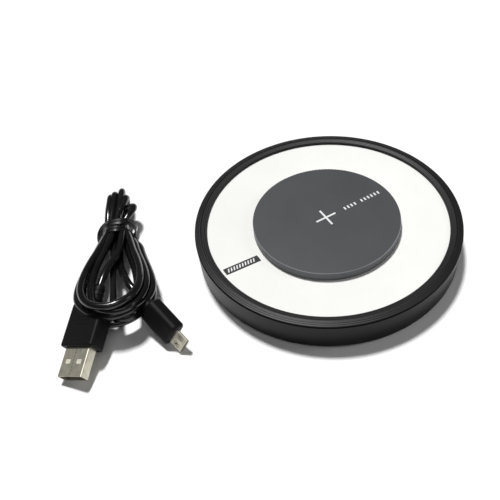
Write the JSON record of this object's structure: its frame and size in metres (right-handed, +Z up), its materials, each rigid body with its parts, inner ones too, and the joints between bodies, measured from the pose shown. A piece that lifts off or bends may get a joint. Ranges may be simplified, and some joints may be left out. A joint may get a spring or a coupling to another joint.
{
  "type": "wireless charging pad",
  "caption": "Round black charging pad with a white top plate, raised grey disc and plus mark, a micro-B socket in its wall, and its loose USB lead tied in a hank beside it.",
  "frame": {"origin": "middle of the plane that the pad's rubber feet stand on, under the middle of the charging disc", "axes": "+Z up out of the charging disc, +X from the pad's middle to its socket; the loose lead lies on the -X side"},
  "size_m": [0.1835, 0.1371, 0.0238],
  "materials": {
    "black_plastic": "fine matte moulding, slight sheen",
    "white_acrylic": "smooth translucent white",
    "grey_plastic": "satin dark grey",
    "white_print": "screen print",
    "dark_print": "foil tab",
    "inner_plastic": "natural moulding",
    "board_green": "solder mask",
    "emitter_white": "clear dome",
    "white_film": "frosted film",
    "ferrite": "sintered, dull",
    "copper": "enamelled copper",
    "foam": "adhesive foam",
    "epoxy": "epoxy bead",
    "wire_jacket": "thin jacket",
    "chip_black": "moulded epoxy",
    "ceramic": "ceramic with tinned ends",
    "plug_steel": "nickel plated sheet",
    "black_insert": "moulded insert",
    "gold": "gold plated",
    "screw_steel": "zinc plated",
    "foot_rubber": "matte rubber",
    "label_film": "blank film",
    "cable_black": "smooth jacket with a soft gloss",
    "tie_black": "coated wire tie"
  },
  "bodies": {
    "pad": {"bottom_housing": "black_plastic", "bezel_ring": "black_plastic", "white_top_plate": "white_acrylic", "charging_disc": "grey_plastic", "plus_mark": "white_print", "tick_marks": "white_print", "label_tab": "dark_print", "inner_frame": "inner_plastic", "light_board": "board_green", "light_emitters": "emitter_white", "diffuser_sheet": "white_film", "ferrite_sheet": "ferrite", "transmit_coil": "copper", "coil_adhesive": "foam", "thermistor": "epoxy", "coil_leads": "copper", "light_leads": "wire_jacket", "main_board": "board_green", "controller_chip": "chip_black", "switching_transistors": "chip_black", "resonant_capacitors": "ceramic", "input_capacitors": "ceramic", "power_inductor": "ferrite", "socket_shell": "plug_steel", "socket_tongue": "black_insert", "socket_contacts": "gold", "housing_screws": "screw_steel", "rubber_feet": "foot_rubber", "rating_label": "label_film"},
    "lead": {"usb_a_shell": "plug_steel", "usb_a_tongue": "black_insert", "usb_a_contacts": "gold", "usb_a_overmold": "cable_black", "usb_a_strain_relief": "cable_black", "usb_a_lead": "cable_black", "micro_b_shell": "plug_steel", "micro_b_insert": "black_insert", "micro_b_contacts": "gold", "micro_b_latches": "plug_steel", "micro_b_overmold": "cable_black", "micro_b_strain_relief": "cable_black", "micro_b_lead": "cable_black", "cable_hank": "cable_black", "cable_tie": "tie_black"}
  },
  "joints": [
    {"name": "lead_lift", "type": "slide", "parent": "pad", "child": "lead", "axis": [0, 0, 1], "range_m": [0, 0.05]}
  ]
}
